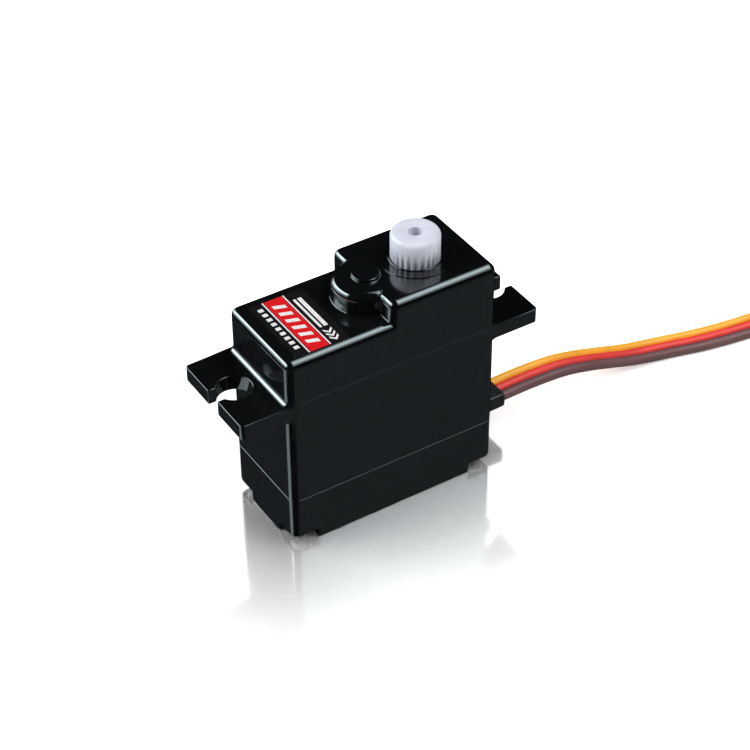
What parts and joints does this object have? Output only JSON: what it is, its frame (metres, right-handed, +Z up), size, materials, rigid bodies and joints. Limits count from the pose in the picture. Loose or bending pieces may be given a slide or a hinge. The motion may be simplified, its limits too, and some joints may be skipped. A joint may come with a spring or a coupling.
{
  "type": "mini servo motor",
  "caption": "Mini hobby servo: stepped black case with slotted ears, white splined output, geared motor inside and a flat three-wire lead with plug.",
  "frame": {"origin": "centre of the case's flat underside, on the surface it stands on", "axes": "+X along the case towards the output shaft and the lead, +Y across the case, +Z up along the output shaft"},
  "size_m": [0.1201, 0.0171, 0.0333],
  "materials": {
    "black_case": "glossy moulded ABS, black",
    "screw_steel": "machined steel, dull zinc",
    "label_film": "printed film sticker, black with a red and white pattern",
    "white_nylon": "milky translucent nylon, satin",
    "bright_steel": "ground steel",
    "brass": "turned brass",
    "endbell_plastic": "ivory moulded plastic",
    "copper_winding": "enamelled copper",
    "ferrite": "sintered ferrite, dark grey",
    "tinned_terminal": "tinned sheet metal",
    "pot_shell": "blue moulded plastic",
    "phenolic": "brown phenolic sheet",
    "grey_sleeve": "grey sleeved wire",
    "board_laminate": "green solder-masked laminate",
    "chip_epoxy": "black moulded epoxy",
    "ceramic_part": "tan ceramic",
    "black_rubber": "black moulded rubber",
    "orange_insulation": "orange-yellow PVC insulation, slightly glossy",
    "red_insulation": "red PVC insulation, slightly glossy",
    "brown_insulation": "dark brown PVC insulation, slightly glossy",
    "plug_plastic": "black moulded plastic",
    "gold_contact": "gold-flashed contact"
  },
  "bodies": {
    "case": {"top_case": "black_case", "middle_case": "black_case", "bottom_cover": "black_case", "case_screw_1": "screw_steel", "case_screw_2": "screw_steel", "case_screw_3": "screw_steel", "case_screw_4": "screw_steel", "label": "label_film", "middle_axle": "bright_steel", "motor_can": "bright_steel", "motor_end_cap": "endbell_plastic", "motor_magnet_1": "ferrite", "motor_magnet_2": "ferrite", "motor_brush_1": "copper_winding", "motor_brush_2": "copper_winding", "motor_terminal_1": "tinned_terminal", "motor_terminal_2": "tinned_terminal", "pot_case": "pot_shell", "pot_track": "phenolic", "pot_lead_1": "grey_sleeve", "pot_lead_2": "grey_sleeve", "pot_lead_3": "grey_sleeve", "circuit_board": "board_laminate", "controller_chip": "chip_epoxy", "bridge_chip_1": "chip_epoxy", "bridge_chip_2": "chip_epoxy", "filter_capacitor": "ceramic_part", "resonator": "ceramic_part", "strain_relief": "black_rubber", "signal_wire": "orange_insulation", "power_wire": "red_insulation", "ground_wire": "brown_insulation", "plug_housing": "plug_plastic", "plug_contact_1": "gold_contact", "plug_contact_2": "gold_contact", "plug_contact_3": "gold_contact"},
    "output": {"output_gear": "white_nylon", "pot_shaft": "bright_steel", "pot_wiper": "brass"},
    "third": {"third_gear": "white_nylon"},
    "second": {"second_gear": "white_nylon"},
    "first": {"first_gear": "white_nylon"},
    "rotor": {"motor_shaft": "bright_steel", "motor_armature": "copper_winding", "motor_commutator": "brass", "motor_pinion": "brass"}
  },
  "joints": [
    {"name": "output_spin", "type": "hinge", "parent": "case", "child": "output", "pos_m": [0.007, 0, 0.024], "axis": [0, 0, 1], "range_deg": [-90, 90]},
    {"name": "third_gear_spin", "type": "hinge", "parent": "case", "child": "third", "pos_m": [0.0003, 0, 0.024], "axis": [0, 0, 1], "range_deg": [-258, 258]},
    {"name": "second_gear_spin", "type": "hinge", "parent": "case", "child": "second", "pos_m": [0.007, 0, 0.024], "axis": [0, 0, 1], "range_deg": [-900, 900]},
    {"name": "first_gear_spin", "type": "hinge", "parent": "case", "child": "first", "pos_m": [0.0003, 0, 0.024], "axis": [0, 0, 1], "range_deg": [-3150, 3150]},
    {"name": "motor_spin", "type": "hinge", "parent": "case", "child": "rotor", "pos_m": [-0.00578, 0, 0.024], "axis": [0, 0, 1], "range_deg": [-14000, 14000]}
  ],
  "couplings": [
    {"joint": "third_gear_spin", "follows": "output_spin", "ratio": -2.8571},
    {"joint": "second_gear_spin", "follows": "output_spin", "ratio": 10},
    {"joint": "first_gear_spin", "follows": "output_spin", "ratio": -35},
    {"joint": "motor_spin", "follows": "output_spin", "ratio": 155.56}
  ]
}
